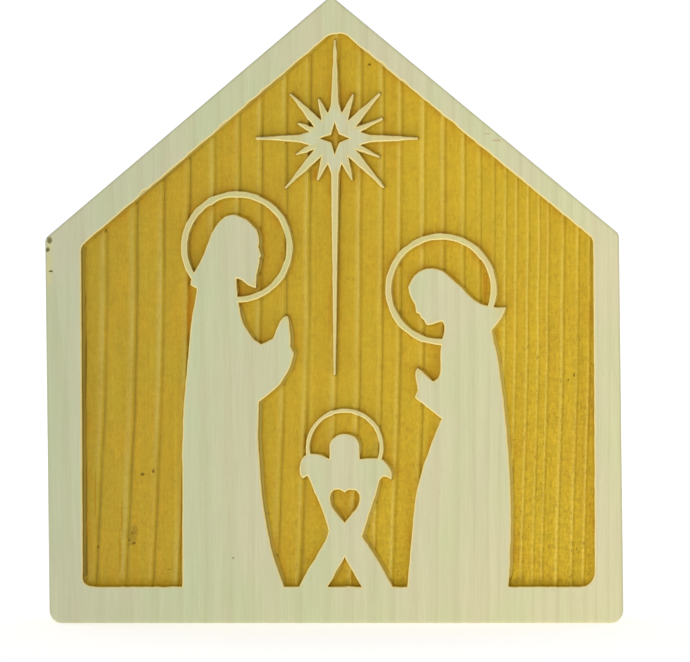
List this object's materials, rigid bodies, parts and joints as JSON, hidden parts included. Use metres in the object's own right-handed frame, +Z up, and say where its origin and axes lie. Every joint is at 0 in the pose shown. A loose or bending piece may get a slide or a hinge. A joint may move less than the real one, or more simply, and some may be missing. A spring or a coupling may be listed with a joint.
{
  "type": "carved wooden nativity block",
  "caption": "House-shaped wooden block that stands on its base, its front cut back around a raised border, haloed figures, a crib and a star.",
  "frame": {"origin": "middle of the base, on the surface that the block stands on", "axes": "+Z up to the peak of the roof, +X to the right seen from the carved front, -Y out of the carved front face"},
  "size_m": [0.141, 0.038, 0.1526],
  "materials": {
    "softwood": "bare pale raised faces, golden brown stain in the recess, matt"
  },
  "bodies": {
    "root": {"carved_block": "softwood"}
  },
  "joints": []
}
